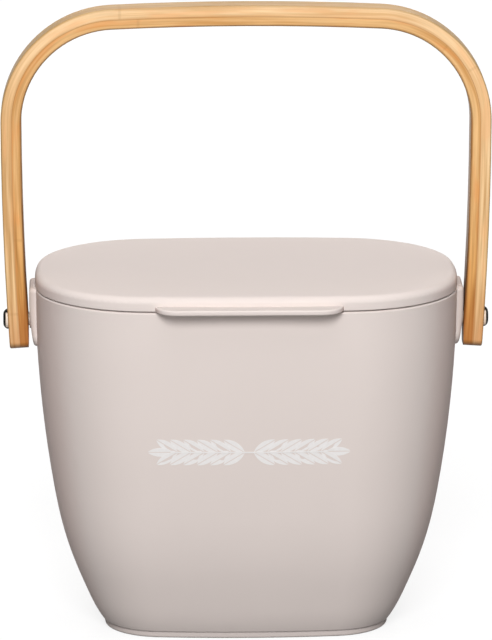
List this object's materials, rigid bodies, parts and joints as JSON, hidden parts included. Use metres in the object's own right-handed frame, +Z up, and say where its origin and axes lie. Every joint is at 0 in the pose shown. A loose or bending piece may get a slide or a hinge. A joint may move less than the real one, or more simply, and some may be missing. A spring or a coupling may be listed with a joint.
{
  "type": "kitchen compost bin",
  "caption": "Oval moulded countertop compost bin with a lift-off sealed lid, a front finger lip and a swinging bent bamboo carrying handle.",
  "frame": {"origin": "centre of the foot ring's resting face, on the surface the bin stands on", "axes": "+Z up, X along the wide side through both handle pivots, -Y towards the front with the finger lip"},
  "size_m": [0.2586, 0.1584, 0.3358],
  "materials": {
    "bin_plastic": "satin moulded",
    "seal_rubber": "matte",
    "bamboo_pale": "sealed",
    "bamboo_dark": "sealed",
    "black_steel": "black oxide",
    "bright_steel": "plain"
  },
  "bodies": {
    "bin": {"bin_body": "bin_plastic", "left_pivot_bolt": "black_steel", "left_pivot_sleeve": "black_steel", "left_inner_washer": "bright_steel", "left_cap_nut": "bright_steel", "right_pivot_bolt": "black_steel", "right_pivot_sleeve": "black_steel", "right_inner_washer": "bright_steel", "right_cap_nut": "bright_steel"},
    "lid": {"lid": "bin_plastic", "lid_seal": "seal_rubber"},
    "handle": {"handle_outer_ply": "bamboo_pale", "handle_inner_ply": "bamboo_dark"}
  },
  "joints": [
    {"name": "handle_swing", "type": "hinge", "parent": "bin", "child": "handle", "pos_m": [0, 0, 0.1665], "axis": [1, 0, 0], "range_deg": [-155, 155]},
    {"name": "lid_lift", "type": "slide", "parent": "bin", "child": "lid", "axis": [0, 0, 1], "range_m": [0, 0.09]}
  ]
}
